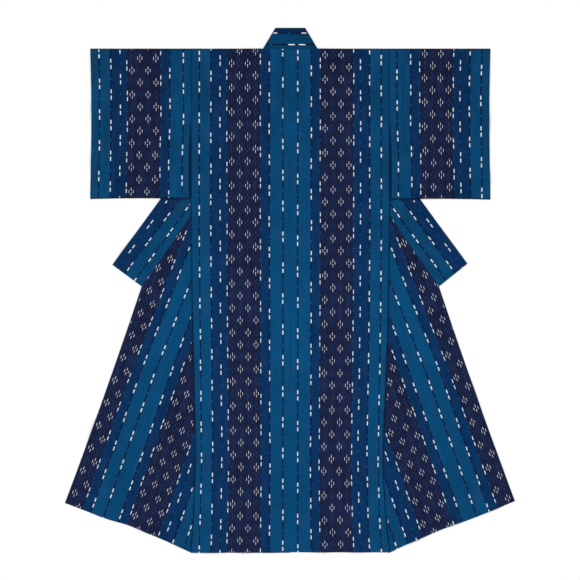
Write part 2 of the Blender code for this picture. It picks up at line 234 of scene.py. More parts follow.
# Unevenness of yarns and dyes: its fineness across and along the bolt, and its detail
UNEVEN = {
    "wander": (0.02, 0.006, 1),
    "fray": (1.4, 0.02, 1),
    "warp_slubs": (0.9, 0.05, 2),
    "weft_slubs": (0.05, 0.9, 2),
    "streaks": (0.30, 0.0022, 3),
    "bars": (0.004, 0.35, 2),
    "drift": (0.012, 0.009, 2),
    "plum": (0.06, 0.012, 3),
    "slip": (1.1, 0.012, 1),
    "wear": (1.3, 0.09, 1),
}
WANDER_MM = 2.4
FRAY_MM = 0.8
SLIP_MM = 4.5

# Dyes drift along the bolt and from yarn to yarn, in depth and towards plum
STREAK = 0.50
BAR = 0.20
DRIFT = 0.50
PLUM_SHARE = 0.70
PLUM_FROM = 0.48
YARN_MM = 0.75
YARN_SHADE = 0.13
SLUB_SHADE = 0.34

# The silk has faded a little over the middle of the kimono and kept its depth at the shoulders
FADING = rows_of("y share", (-0.90, 0.68), (-0.05, 1.00), (0.35, 0.52), (0.90, 0.00))
FADE = 0.29

# White marks are worn, and stop short of the edges; near its edges the cloth is darkened with painted
# shade
MARK_WHITE = 0.62
MARK_WEAR = 0.50
MARK_WEAVE = 0.08
EDGE_BARE_MM = 6.0
EDGE_BARE_SOFT_MM = 1.0
PAINTED_SHADE_MM = 5.0
PAINTED_SHADE_DEPTH = 0.88
PAINTED_SHADE_FALL = 1.25

# The weave's height and the silk's dull sheen
YARN_BUMP = {"Strength": 0.5, "Distance": 0.00022}
WEAVE_RELIEF = 0.35
SILK_ROUGHNESS = 0.72
SLUB_ROUGHNESS = 0.08
SILK_SHEEN = {"Specular IOR Level": 0.05, "Sheen Weight": 0.06, "Sheen Roughness": 0.25}


def dye(name):
    """A dye's colour as linear light."""
    return tuple((v / 255 / 12.92 if v < 11 else ((v / 255 + 0.055) / 1.055) ** 2.4)
                 for v in DYES[name]) + (1.0,)


def indigo_silk(name, depth, plum_share=PLUM_SHARE):
    """The bolt's cloth, read on a panel's own cut, in millimetres across and along the bolt."""
    cloth = bpy.data.materials.new(name)
    cloth.use_nodes = True
    nodes, links = cloth.node_tree.nodes, cloth.node_tree.links

    def put(socket, value):
        if isinstance(value, (int, float, tuple)):
            socket.default_value = value
        else:
            links.new(value, socket)

    def calc(operation, *values):
        node = nodes.new("ShaderNodeMath")
        node.operation = operation
        for socket, value in zip(node.inputs, values):
            put(socket, value)
        return node.outputs[0]

    plus, minus, times, over = (partial(calc, kind) for kind in ("ADD", "SUBTRACT", "MULTIPLY", "DIVIDE"))

    def split(place):
        """The separate lengths of a place."""
        node = nodes.new("ShaderNodeSeparateXYZ")
        links.new(place, node.inputs[0])
        return node.outputs

    def read_map(layer):
        """A UV map's two lengths, in millimetres."""
        where = nodes.new("ShaderNodeUVMap")
        where.uv_map = layer
        return [times(length, 1000.0) for length in split(where.outputs[0])[:2]]

    def uneven(kind):
        """Noise from 0 to 1, with its own fineness across and along the bolt."""
        across_scale, along_scale, detail = UNEVEN[kind]
        place = nodes.new("ShaderNodeCombineXYZ")
        put(place.inputs[0], times(across, across_scale))
        put(place.inputs[1], times(along, along_scale))
        texture = nodes.new("ShaderNodeTexNoise")
        texture.noise_dimensions = "2D"
        set_sockets(texture, {"Scale": 1.0, "Detail": detail})
        links.new(place.outputs[0], texture.inputs["Vector"])
        return texture.outputs[0]

    def swing(kind, size):
        """The same noise about 0, that size from end to end."""
        return times(minus(uneven(kind), 0.5), size)

    def ramp(value, stops, interpolation):
        node = nodes.new("ShaderNodeValToRGB")
        node.color_ramp.interpolation = interpolation
        elements = node.color_ramp.elements
        for index, (position, colour) in enumerate(stops):
            element = elements[index] if index < 2 else elements.new(1.0)
            element.position = position
            element.color = colour
        put(node.inputs[0], value)
        return node.outputs[0]

    def grey(value):
        return (value, value, value, 1.0)

    def blend(factor, first, second):
        node = nodes.new("ShaderNodeMix")
        node.data_type = "RGBA"
        for socket, value in ((0, factor), (6, first), (7, second)):
            put(node.inputs[socket], value)
        return node.outputs[2]

    def near(value, reach, softness):
        """1 where the value is within the reach of 0, falling to 0 over the softness."""
        share = over(plus(minus(reach, calc("ABSOLUTE", value)), softness / 2), softness)
        share.node.use_clamp = True
        return share

    # Bands, with edges that wander and fray
    across, along = read_map("cut")
    woven = plus(across, plus(swing("wander", WANDER_MM), swing("fray", FRAY_MM)))
    over_bolt = over(woven, BOLT_MM)
    stops = []
    for (start, band_dye), (following, _) in zip(BANDS, BANDS[1:] + ((BOLT_MM, None),)):
        stops.append(((start + BAND_BLUR_MM) / BOLT_MM, dye(band_dye)))
        stops.append(((following - BAND_BLUR_MM) / BOLT_MM, dye(band_dye)))
    base = ramp(over_bolt, stops, "LINEAR")

    # Plain weave of slubby yarn
    warp = calc("SINE", times(across, math.tau / YARN_MM))
    weft = calc("SINE", times(along, math.tau / YARN_MM))
    weave = times(warp, weft)
    slubs = plus(uneven("warp_slubs"), uneven("weft_slubs"))
    yarns = plus(times(weave, YARN_SHADE), times(minus(slubs, 1.0), SLUB_SHADE))

    # Fading, by the place on the whole kimono
    place_y = split(nodes.new("ShaderNodeTexCoord").outputs["Object"])[1]
    hem_y, length = FADING[0]["y"], FADING[-1]["y"] - FADING[0]["y"]
    shares = [((row["y"] - hem_y) / length, grey(row["share"])) for row in FADING]
    faded = ramp(over(minus(place_y, hem_y), length), shares, "B_SPLINE")
    fading = times(minus(faded, 0.5), FADE)

    # Yarns took the dye unevenly: long streaks, faint bars across, and slow drifts
    bars_and_streaks = plus(swing("streaks", STREAK), swing("bars", BAR))
    uptake = plus(bars_and_streaks, plus(swing("drift", DRIFT), plus(yarns, fading)))
    shaded = nodes.new("ShaderNodeHueSaturation")
    links.new(base, shaded.inputs["Color"])
    put(shaded.inputs["Value"], plus(uptake, depth))
    plum = times(minus(uneven("plum"), PLUM_FROM), plum_share)
    dyed = blend(calc("MAXIMUM", plum, 0.0), shaded.outputs[0], dye("plum"))

    # Dashes and dots on the lines
    slipped = plus(along, swing("slip", SLIP_MM))
    line, phases, before = 0.0, [], None
    for row in DASH_ROWS:
        line = calc("MAXIMUM", line, near(minus(woven, row["across"]), row["half"], DASH_SOFT_MM))
        halfway = 0.0 if before is None else (before + row["across"]) / 2 / BOLT_MM
        phases.append((halfway, grey(row["phase"])))
        before = row["across"]
    turn = calc("FRACT", plus(over(slipped, REPEAT_MM), ramp(over_bolt, phases, "CONSTANT")))
    dashes = times(line, ramp(turn, [(at, grey(on)) for at, on in PAIR_OF_DASHES], "LINEAR"))
    dots = times(line, near(times(minus(turn, DOT_PLACE), REPEAT_MM), DOT_HALF_MM, DOT_SOFT_MM))

    # Lozenges in the dark band; every other file is half a repeat further along
    off = minus(woven, LOZENGE_MIDDLE_MM)
    file_place = minus(over(off, LOZENGE_FILE_MM), 0.5)
    file = calc("ROUND", file_place)
    in_file = times(minus(file_place, file), LOZENGE_FILE_MM)
    column = calc("ROUND", over(in_file, LOZENGE_COLUMN_MM))
    aside = minus(in_file, times(column, LOZENGE_COLUMN_MM))
    steps = calc("ABSOLUTE", column)
    lowered = times(minus(1.0, steps), LOZENGE_DASH_MM / 2)
    in_band = calc("LESS_THAN", calc("ABSOLUTE", off), LOZENGE_FILES_MM / 2)
    narrow = times(in_band, near(aside, LOZENGE_MARK_HALF_MM, LOZENGE_MARK_SOFT_MM))

    def lozenges(phase, mark_half):
        """Marks of one set of lozenges, each mark so far from its own middle along the bolt."""
        share = plus(over(slipped, LOZENGE_REPEAT_MM), times(file, 0.5))
        share = calc("FRACT", plus(share, REPEATS_BEFORE + phase))
        way = plus(times(minus(share, 0.5), LOZENGE_REPEAT_MM), lowered)
        place = times(calc("ROUND", over(way, LOZENGE_DASH_MM)), LOZENGE_DASH_MM)
        reach = plus(calc("ABSOLUTE", minus(place, lowered)), times(steps, LOZENGE_DASH_MM / 2))
        inside = calc("LESS_THAN", reach, LOZENGE_DASH_MM * LOZENGE_REACH)
        mark = near(minus(way, place), mark_half, LOZENGE_DASH_SOFT_MM)
        return times(times(inside, narrow), mark)

    # Blue flecks lie between the lozenges; white marks stay clear of the edges
    flecks = lozenges(0.5, DOT_HALF_MM)
    marked = blend(times(calc("MAXIMUM", dots, flecks), BLUE_SHARE), dyed, dye("pale_blue"))
    from_side, from_end = read_map("rim")
    clear = minus(1.0, near(from_side, EDGE_BARE_MM, EDGE_BARE_SOFT_MM))
    resist = times(calc("MAXIMUM", dashes, lozenges(0.0, LOZENGE_DASH_HALF_MM)), clear)
    worn = plus(plus(MARK_WHITE, times(uneven("wear"), MARK_WEAR)), times(weave, MARK_WEAVE))
    marked = blend(calc("MINIMUM", times(resist, worn), 1.0), marked, dye("undyed"))

    # Painted shade: the cloth is darkened near its folded and sewn edges, with painted shadow along the
    # edges of parts lying on it and in the slit between body and sleeve
    rim = over(calc("MINIMUM", from_side, from_end), PAINTED_SHADE_MM)
    near_rim = minus(1.0, calc("MINIMUM", rim, 1.0))
    edge = times(calc("POWER", near_rim, PAINTED_SHADE_FALL), PAINTED_SHADE_DEPTH)
    with_painted_shade = blend(edge, marked, dye("painted_shade"))

    # The weave stands up in the same yarns
    bump = nodes.new("ShaderNodeBump")
    set_sockets(bump, YARN_BUMP)
    links.new(plus(times(weave, WEAVE_RELIEF), slubs), bump.inputs["Height"])

    shader = nodes["Principled BSDF"]
    links.new(with_painted_shade, shader.inputs["Base Color"])
    links.new(bump.outputs[0], shader.inputs["Normal"])
    put(shader.inputs["Roughness"], plus(SILK_ROUGHNESS, times(slubs, SLUB_ROUGHNESS)))
    set_sockets(shader, SILK_SHEEN)
    return cloth


def read(table, key, value, column):
    """Smooth reading of one column of a table whose rows rise in the key column."""
    keys = [row[key] for row in table]
    values = [row[column] for row in table]
    value = min(max(value, keys[0]), keys[-1])
    i = max(k for k in range(len(keys) - 1) if keys[k] <= value)

    def slope(k):
        low, high = max(k - 1, 0), min(k + 1, len(keys) - 1)
        return (values[high] - values[low]) / (keys[high] - keys[low])

    span = keys[i + 1] - keys[i]
    t = (value - keys[i]) / span
    first, last = slope(i) * span, slope(i + 1) * span
    return ((2 * t**3 - 3 * t**2 + 1) * values[i] + (t**3 - 2 * t**2 + t) * first
            + (3 * t**2 - 2 * t**3) * values[i + 1] + (t**3 - t**2) * last)


def mix(a, b, t):
    """A point that far of the way from one to another."""
    return tuple(p + (q - p) * t for p, q in zip(a, b))


def sink(distance, margin, ramp):
    """1 up to the margin, falling softly to 0 past the ramp."""
    t = min(max((distance - margin) / ramp, 0.0), 1.0)
    return 1.0 - t * t * (3.0 - 2.0 * t)


def turn_out(across, height):
    """A point of the front's cut, mirrored in the line along which it is turned outward."""
    along = across * math.sin(TURN_ANGLE) + height * math.cos(TURN_ANGLE)
    return (-HALF_BACK + 2 * along * math.sin(TURN_ANGLE) - across,
            HEM_Y + 2 * along * math.cos(TURN_ANGLE) - height)


def seam_across(height):
    """The collar seam at a height, across the front's cut."""
    return read(COLLAR_SEAM, "height", height, "across")


def hem_rise(side, across, height):
    """The front's hem rises; its rows follow, less and less up to the collar's end."""
    fade = 1.0 - min(height / OVERLAP_EDGE, 1.0)
    return read(FRONT_HEM, "across", across, side) * fade


def overlap_outer(height):
    """The overlap panel's free edge, bowed in a little, across the front's cut."""
    up = min(height / OVERLAP_EDGE, 1.0)
    return FRONT_WIDTH + OVERLAP_WIDTH - OVERLAP_BOW * 4 * up * (1 - up)


def side_x(side, height):
    """The side seam of the left back at a height, with the sway of the side that it stands for."""
    return -HALF_BACK + read(SIDE_SWAY, "height", height, side)


def ridges(rows, x, y):
    """Height of one side's ridges at a place: round across, dying away at both ends."""
    total = 0.0
    for x0, y0, x1, y1, width, rise in rows:
        length = math.hypot(x1 - x0, y1 - y0)
        along = ((x - x0) * (x1 - x0) + (y - y0) * (y1 - y0)) / length**2
        if 0.0 < along < 1.0:
            aside = ((x - x0) * (y1 - y0) - (y - y0) * (x1 - x0)) / length
            total += rise * math.sin(math.pi * along) ** RIDGE_TAPER * math.exp(-(aside / width) ** 2)
    return total


def puff(from_edge):
    """The cloth stands up off its seams and folded edges."""
    return EDGE_PUFF * (1.0 - sink(from_edge, 0.0, EDGE_PUFF_WIDTH))


def wing_loft(side, x, y, from_edge):
    """How the turned-out cloth rises off the ground where nothing lies on it."""
    uncovered = 1.0 - sink(side_x(side, y - HEM_Y) - x, COVER_MARGIN, COVER_RAMP)
    uncovered *= 1.0 - sink(SHOULDER_Y - SLEEVE_DROP[side] - y, COVER_MARGIN, COVER_RAMP)
    return uncovered * (puff(from_edge) + ridges(WING_RIDGES[side], x, y))


def from_cover(side, x, y):
    """Distance of a place on the turned-out cloth from what lies on it, negative underneath."""
    return min(side_x(side, y - HEM_Y) - x, SHOULDER_Y - SLEEVE_DROP[side] - y)


def spread(width, count):
    """Distances across a panel: a few close to each edge, the rest evenly between."""
    close = [distance * min(1.0, width / CLOSE_FIT) for distance in CLOSE_ROWS]
    inner = count - 2 * len(close)
    between = [close[-1] + (width - 2 * close[-1]) * (i + 1) / (inner + 1) for i in range(inner)]
    return close + between + [width - d for d in reversed(close)]


def lay_cloth(name, cloth, points, bolt_start, absent=None, right=False, outward=True, cap=None):
    """A cloth panel laid through rows of points; a point is its place, its cut and its rim.

    The cut is where it lay on its length of the bolt, which began at bolt_start. The rim is how far
    it is from the outline, and FREE_EDGE more where nothing lies beside that edge. absent(row, column)
    leaves a cell out, right mirrors the left-hand shape, and cap(work, table) closes an end.
    """
    rows, columns = len(points), len(points[0])
    bpy.ops.object.select_all(action="DESELECT")
    bpy.ops.mesh.primitive_grid_add(x_subdivisions=columns - 1, y_subdivisions=rows - 1, size=2)
    piece = bpy.context.object
    piece.name = name
    piece.data.name = name
    work = bmesh.new()
    work.from_mesh(piece.data)
    for layer in list(work.loops.layers.uv):
        work.loops.layers.uv.remove(layer)
    cut_map = work.loops.layers.uv.new("cut")
    rim_map = work.loops.layers.uv.new("rim")
    grid = sorted(work.verts, key=lambda v: (round(v.co.y, 5), round(v.co.x, 5)))
    table = [grid[r * columns:(r + 1) * columns] for r in range(rows)]
    cell = {vertex: (r, c) for r, line in enumerate(table) for c, vertex in enumerate(line)}
    if absent:
        out = [face for face in work.faces
               if absent(*(min(cell[v][axis] for v in face.verts) for axis in (0, 1)))]
        bmesh.ops.delete(work, geom=out, context="FACES")
    if cap:
        cap(work, table)
    for vertex in work.verts:
        r, c = cell[vertex]
        vertex.co = points[r][c][0]
    for face in work.faces:
        for loop in face.loops:
            r, c = cell[loop.vert]
            cut_across, cut_along = points[r][c][1]
            loop[cut_map].uv = (cut_across, cut_along + bolt_start)
            loop[rim_map].uv = points[r][c][2]
    bmesh.ops.remove_doubles(work, verts=work.verts, dist=MERGE_DISTANCE)
    if right:
        bmesh.ops.scale(work, vec=(-1, 1, 1), verts=work.verts)
        bmesh.ops.reverse_faces(work, faces=work.faces)
    work.to_mesh(piece.data)
    work.free()
    piece.data.materials.append(cloth)
    wall = piece.modifiers.new("Wall", "SOLIDIFY")
    wall.thickness = WALL
    wall.offset = 1.0 if outward else -1.0
    wall.use_even_offset = True
    bpy.ops.object.modifier_apply(modifier=wall.name)
    bpy.ops.object.shade_smooth_by_angle(angle=SMOOTH_ANGLE)
    return piece


def seam_heights():
    """Heights of the rows that meet along the collar seam."""
    top = BODY_LENGTH - OVERLAP_POINT_DROP - POINT_BLUNT
    return [OVERLAP_EDGE + (top - OVERLAP_EDGE) * i / SEAM_ROWS for i in range(SEAM_ROWS + 1)]


okumi_cloth = indigo_silk("okumi_silk", 0.92)
for side in ("left", "right"):
    low = [OVERLAP_EDGE * i / OVERLAP_LOW_ROWS for i in range(1, OVERLAP_LOW_ROWS)]
    inner = FRONT_WIDTH + SEAM_GAP / 2
    heights = list(CLOSE_ROWS) + low + seam_heights()
    points = []
    for height in heights:
        cut_edge = OVERLAP_CUT + OVERLAP_SKEW * max(height - SKEW_FROM, 0.0)
        outer = min(overlap_outer(height), seam_across(height) - SEAM_GAP)
        line = []
        for step in reversed(spread(outer - inner, OVERLAP_COLUMNS)):
            u = inner + step
            x, y = turn_out(u, height + hem_rise(side, u, height))
            from_free = outer - u
            z = wing_loft(side, x, y, min(step, from_free, height))
            from_side = from_free + FREE_EDGE if height < OVERLAP_EDGE else FAR
            # The rim puts painted shadow along the edges of the back and sleeve lying on this cloth, and
            # fainter painted shade along its free edge and hem
            rim = (min(from_side, abs(from_cover(side, x, y))), height + FREE_EDGE)
            line.append(((x, y, z), (cut_edge + step, height), rim))
        points.append(line)
    okumi = lay_cloth("okumi_" + side + "_cloth", okumi_cloth, points, OKUMI_START[side],
                      right=side == "right")
    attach(okumi, "root")
    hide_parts("okumi_" + side)


# Collar. One long band of the same silk, open to its full width and turned outward down both
# fronts on the ground; at the back neck it is folded and its outer half stands up behind the back.
LAY_GAP = 0.0004
PITCH = WALL + LAY_GAP
FOLD_OUTER = WALL + LAY_GAP / 2
COLLAR_TOP_HALF = 0.0490
NECK_HALF = 0.0890
STAND_FOOT_HALF = NECK_HALF - WALL
STAND_SLANT_COSINE = 0.86
TOP_Y = SHOULDER_Y + COLLAR_STAND
COLLAR_LEAN = math.radians(35)
COLLAR_STEP = 0.034
COLLAR_PITCH = COLLAR_STEP / 3
NECK_STEPS = 9
COLLAR_COLUMNS = 16
STAND_COLUMNS = 11
BEND_STEPS = 6
PAST_SEAM_STEPS = 6
COLLAR_CUT = 0.2090
COLLAR_START = 0.012
COLLAR_FOLD_CUT = 0.0352
FOLD_MARGIN = 0.004
FOLD_RAMP = 0.055
HALVINGS = 40

# The open collar's end isn't quite square: its outer corner lies this much further up, fading out
END_SLANT = {"left": 0.0035, "right": 0.0085}
END_SLANT_REACH = 0.160
END_SLANT_POWER = 1.5

# Width of the open collar along its seam
COLLAR_WIDTH = rows_of("height width", (0.767, 0.1190), (1.040, 0.1120), (1.530, 0.0880))

# Collar round the neck, one side: outer edge and inner edge, with heights above the shoulder line
NECK = rows_of("outer_x outer_rise inner_x inner_rise",
               (0.0895, 0.0000, 0.0380, -0.0790), (0.0490, 0.0680, 0.0150, -0.0430),
               (0.0250, 0.0680, 0.0070, -0.0300), (0.0000, 0.0680, 0.0000, -0.0195))


def turn_line_x(height):
    """Where the front is turned outward, at a height above the hem."""
    return -HALF_BACK + height * math.tan(TURN_ANGLE)


def past_turn_line(x, y):
    """How far a place lies to the right of that line."""
    return (x - turn_line_x(y - HEM_Y)) * math.cos(TURN_ANGLE)


def half_round(radius):
    """Rows round a fold from its top down: how far each bulges and how far it has sunk."""
    turns = [math.pi * step / BEND_STEPS for step in range(1, BEND_STEPS + 1)]
    return [(radius * math.sin(turn), radius * (1 - math.cos(turn))) for turn in turns]


def crossing_height():
    """Height at which the collar seam meets the turn line."""
    low, high = OVERLAP_EDGE, BODY_LENGTH
    for _ in range(HALVINGS):
        middle = (low + high) / 2
        if seam_across(middle) > middle * math.tan(TURN_ANGLE):
            low = middle
        else:
            high = middle
    return low


CROSSING = crossing_height()
CROSSING_POINT = (turn_line_x(CROSSING), HEM_Y + CROSSING)
NECK_POINT = (-NECK_HALF, SHOULDER_Y)


def right_of(point, start, end):
    """Signed distance of a point to the right of the line from start to end."""
    dx, dy = end[0] - start[0], end[1] - start[1]
    return ((point[0] - start[0]) * dy - (point[1] - start[1]) * dx) / math.hypot(dx, dy)


def over_front(x, y):
    """How much the part of the front that isn't turned out lifts what lies on it."""
    x = -abs(x)
    past = past_turn_line(x, y)
    if y > CROSSING_POINT[1]:
        past = max(past, right_of((x, y), CROSSING_POINT, NECK_POINT))
    return sink(max(past, y - SHOULDER_Y), FOLD_MARGIN, FOLD_RAMP)


def collar_edges():
    """Outer and inner edge of the collar's lower layer, from its left end to the centre back."""
    edges = []
    heights = seam_heights()
    start = heights[-1]
    heights += [start + (CROSSING - start) * (i + 1) / PAST_SEAM_STEPS for i in range(PAST_SEAM_STEPS)]
    for height in heights:
        further = height + COLLAR_STEP
        here = turn_out(seam_across(height), height)
        ahead = turn_out(seam_across(further), further)
        length = math.dist(here, ahead)
        normal = (-(ahead[1] - here[1]) / length, (ahead[0] - here[0]) / length)
        width = read(COLLAR_WIDTH, "height", height, "width")
        inner_edge = (here[0] + normal[0] * SEAM_GAP, here[1] + normal[1] * SEAM_GAP)
        edges.append(((here[0] + normal[0] * width, here[1] + normal[1] * width), inner_edge))
    for row in NECK:
        corner = ((-row["outer_x"], SHOULDER_Y + row["outer_rise"]),
                  (-row["inner_x"], SHOULDER_Y + row["inner_rise"]))
        last = edges[-1]
        edges += [tuple(mix(a, b, (i + 1) / NECK_STEPS) for a, b in zip(last, corner))
                  for i in range(NECK_STEPS)]
    return edges


collar_side = collar_edges()
INNER_APEX = collar_side[-1][1]
FLAT_ROWS = (len(NECK) - 2) * NECK_STEPS
left_part = [(o, i, "left") for o, i in collar_side]
right_part = [((-o[0], o[1]), (-i[0], i[1]), "right") for o, i in reversed(collar_side[:-1])]
collar_path = left_part + right_part
first = len(collar_side) - 1 - FLAT_ROWS
last = len(collar_path) - 1 - first
stand_top = TOP_Y - FOLD_OUTER
stand_foot = SHOULDER_Y - FOLD_OUTER + SEAM_GAP
points = []
along = 0.0
for index, (outer, inner, side) in enumerate(collar_path):
    if index:
        before = collar_path[index - 1]
        along += math.dist(outer, before[0])
    to_end = min(index, len(collar_path) - 1 - index) * COLLAR_PITCH
    slant_up = END_SLANT[side] * (1.0 - min(to_end / END_SLANT_REACH, 1.0)) ** END_SLANT_POWER
    from_end = along + FREE_EDGE
    line = []
    crest, foot = (outer[0], stand_top), (outer[0] * STAND_FOOT_HALF / COLLAR_TOP_HALF, stand_foot)
    stand_width = math.dist(crest, foot)
    for step in reversed(spread(stand_width, STAND_COLUMNS)):
        x, y = mix(crest, foot, step / stand_width)
        half_here = COLLAR_TOP_HALF + (STAND_FOOT_HALF - COLLAR_TOP_HALF) * step / stand_width
        from_slant = (half_here - abs(x)) * STAND_SLANT_COSINE
        z = WALL + PITCH * (1 + over_front(x, y)) + puff(min(step, stand_width - step))
        cut = (COLLAR_CUT + COLLAR_FOLD_CUT + stand_top - y, along)
        line.append(((x, y, z), cut, (from_slant + FREE_EDGE, step + FREE_EDGE)))
    # The fold at the stand's top gets the darkest painted shade
    for bulge, sunk in half_round(FOLD_OUTER)[:-1]:
        place = (outer[0], stand_top + bulge, 2 * FOLD_OUTER - sunk)
        line.append((place, (COLLAR_CUT + COLLAR_FOLD_CUT, along), (FAR, 0.0)))
    edge_y = stand_top if first <= index <= last else outer[1]
    width = math.dist((outer[0], edge_y), inner)
    into_neck = index - first if side == "left" else last - index
    neck_share = min(max((into_neck + NECK_STEPS) / NECK_STEPS, 0.0), 1.0)
    for step in spread(width, COLLAR_COLUMNS):
        x, y = mix((outer[0], edge_y), inner, step / width)
        from_edge = min(step, width - step, to_end)
        x += slant_up * (1.0 - step / width) * math.sin(COLLAR_LEAN) * (1 if side == "left" else -1)
        y += slant_up * (1.0 - step / width) * math.cos(COLLAR_LEAN)
        z = wing_loft(side, -abs(x), y, from_edge) * (1.0 - neck_share)
        cut = (COLLAR_CUT + COLLAR_FOLD_CUT * neck_share + step, along)
        # Painted shadow along the edges of what lies on the collar, and fainter painted shade along its
        # own edges
        line.append(((x, y, z), cut, (min(step + FREE_EDGE, abs(from_cover(side, -abs(x), y))), from_end)))
    points.append(line)
length = along
for line in points[len(collar_side):]:
    for c, (place, cut, rim) in enumerate(line):
        if c >= STAND_COLUMNS + BEND_STEPS - 1:
            line[c] = (place, cut, (rim[0], length - cut[1] + FREE_EDGE))
stand_columns = STAND_COLUMNS - 1 + BEND_STEPS
collar_cloth = indigo_silk("collar_silk", 0.87)
collar = lay_cloth("collar_band_cloth", collar_cloth, points, COLLAR_START,
                   absent=lambda r, c: c < stand_columns and not first <= r < last)
collar.data.materials.append(indigo_silk("collar_stand_silk", 0.88, plum_share=0.0))
for face in collar.data.polygons:
    face.material_index = int(face.center.y > stand_foot)
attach(collar, "root")
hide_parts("collar")


# Fronts. Each is the same length of silk as its back, carried over the shoulder; below the collar
# it is turned outward along a slanting line, so half of it shows on the ground beside the back.
LIFT_MARGIN = 0.010
LIFT_RAMP = 0.060
LEAST_WIDTH = 0.003
HIDDEN_INSET = 0.001
HIDDEN_COLUMNS = 13
TURNED_COLUMNS = 26
ROW_STEP = 0.0105
ARMHOLE_SEAM = 0.2400
SLEEVE_PART = 0.0045
SLIT_CLEAR = 0.00005
SLIT_RAMP = 0.126
FRONT_START = {"left": 1.761, "right": 1.718}


def outer_edge_x(y):
    """The collar's outer edge on the left, read at a height y."""
    edge = [outer for outer, _ in collar_side[:-FLAT_ROWS]]
    i = max([0] + [k for k in range(len(edge) - 1) if edge[k][1] <= y])
    (x0, y0), (x1, y1) = edge[i], edge[i + 1]
    return x0 + (x1 - x0) * (y - y0) / (y1 - y0)


def over_wing(x, y):
    """How much the turned-out front and the collar beneath lift what lies on them."""
    x = -abs(x)
    past_inner = right_of((x, y), CROSSING_POINT, INNER_APEX)
    past_outer = (outer_edge_x(y) - x) * math.cos(COLLAR_LEAN)
    inside = sink(min(past_turn_line(x, y), past_inner), FOLD_MARGIN, FOLD_RAMP)
    return inside * sink(past_outer, LIFT_MARGIN, LIFT_RAMP)


def body_rows():
    """Heights above the hem of the body's rows; one of them is just under the crossing."""
    top = BODY_LENGTH - FOLD_OUTER
    last_open = CROSSING - LEAST_WIDTH
    low = math.ceil(last_open / ROW_STEP)
    high = math.ceil((top - last_open) / ROW_STEP)
    heights = list(CLOSE_ROWS) + [last_open * (i + 1) / low for i in range(low)]
    return heights + [last_open + (top - last_open) * (i + 1) / high for i in range(high)]


def front_edge_x(side, height):
    """Right edge of the front under the back: the turn line, then the collar seam."""
    edge = turn_line_x(height)
    if height > CROSSING:
        share = (height - CROSSING) / (BODY_LENGTH - CROSSING)
        edge = mix(CROSSING_POINT, NECK_POINT, share)[0]
    return max(edge, side_x(side, height) + LEAST_WIDTH)


def slit_width(drop):
    """How wide the slit between body and sleeve stands open, below the armhole seam."""
    return SLEEVE_PART * (1.0 - sink(drop - ARMHOLE_SEAM, 0.0, SLIT_RAMP))


ROWS = body_rows()
open_rows = sum(1 for height in ROWS if height < CROSSING)
front_cloth = indigo_silk("front_silk", 0.92)
bulge_way = (math.cos(TURN_ANGLE), -math.sin(TURN_ANGLE))
for side in ("left", "right"):
    points = []
    for height in ROWS:
        height = min(height, BODY_LENGTH - FOLD_OUTER - SEAM_GAP)
        y = HEM_Y + height
        start = side_x(side, height)
        edge = front_edge_x(side, height)
        line = []
        inset = start + HIDDEN_INSET
        even = [start + (edge - start) * (i / (HIDDEN_COLUMNS - 2)) for i in range(HIDDEN_COLUMNS - 1)]
        hidden = [inset] + [max(x, inset + SLIT_CLEAR) for x in even]
        if BODY_LENGTH - height < SLEEVE_DROP[side]:
            hidden[0] = min(inset, start - slit_width(BODY_LENGTH - height) + SLIT_CLEAR)
        for x in hidden:
            cut = (WOVEN_WIDTH - (x + HALF_BACK), height)
            # The rim is 0 at the first column, so the strip showing in the slit between body and sleeve
            # gets the darkest painted shade
            rim = (max(x - inset, 0.0), height)
            line.append(((x, y, PITCH * over_wing(x, y) + WALL), cut, rim))
        for bulge, sunk in half_round(FOLD_OUTER):
            place = (edge + bulge_way[0] * bulge, y + bulge_way[1] * bulge, 2 * FOLD_OUTER - sunk)
            line.append((place, (WOVEN_WIDTH - (edge + HALF_BACK), height), (FAR, height)))
        turned = edge + HALF_BACK
        across = min(FRONT_WIDTH - SEAM_GAP / 2, seam_across(height) - SEAM_GAP)
        for step in spread(max(across - turned, 0.0), TURNED_COLUMNS)[1:]:
            u = turned + step
            x, y_out = turn_out(u, height + hem_rise(side, u, height))
            z = wing_loft(side, x, y_out, min(across - u, height))
            # Painted shadow along the edges of the back and sleeve lying on the turned-out front, and
            # fainter painted shade along its hem
            rim = (abs(from_cover(side, x, y_out)), height + FREE_EDGE)
            line.append(((x, y_out, z), (WOVEN_WIDTH - u, height), rim))
        points.append(line)
    under = HIDDEN_COLUMNS - 1
    front = lay_cloth("front_" + side + "_cloth", front_cloth, points, FRONT_START[side],
                      right=side == "right", outward=False,
                      absent=lambda r, c: r >= open_rows - 1 and c >= under)
    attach(front, "root")
    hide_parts("front_" + side)


# Backs. Two lengths of silk joined by the centre back seam lie over everything else; their side
# edges run down on the turned-out fronts, and both go over the shoulder in a pressed fold.
FOLD_INNER = LAY_GAP / 2
BACK_HEM_RISE = {"left": 0.0, "right": 0.0015}
HEM_FADE = 0.080
BACK_START = {"left": 0.000, "right": 0.013}
OUTER_COLUMNS = 32
NECK_COLUMNS = 15
SWAY_TAKEN = 0.56
CALM_RAMP = 0.040

# Soft ridges of the backs
BACK_RIDGES = {
    "left": ridge_rows(
        (-250, 700, -215, -250, 55, 3.4), (-90, 420, -120, -520, 48, 3.0),
        (-200, -150, -245, -820, 64, 4.4), (-310, 330, -190, 120, 44, 3.0),
        (-55, -380, -100, -840, 41, 3.4), (-255, -1020, -270, -560, 34, 5.6),
        (-150, -990, -135, -600, 30, 4.6), (-70, -1000, -60, -500, 26, 4.4)),
    "right": ridge_rows(
        (-230, 640, -245, 20, 52, 3.9), (-120, 560, -80, -300, 55, 2.5),
        (-170, -200, -150, -830, 55, 4.4), (-300, 300, -210, 60, 41, 3.4),
        (-270, -260, -255, -780, 37, 3.0), (-215, -1000, -240, -480, 36, 5.4),
        (-105, -1010, -95, -570, 30, 5.0)),
}

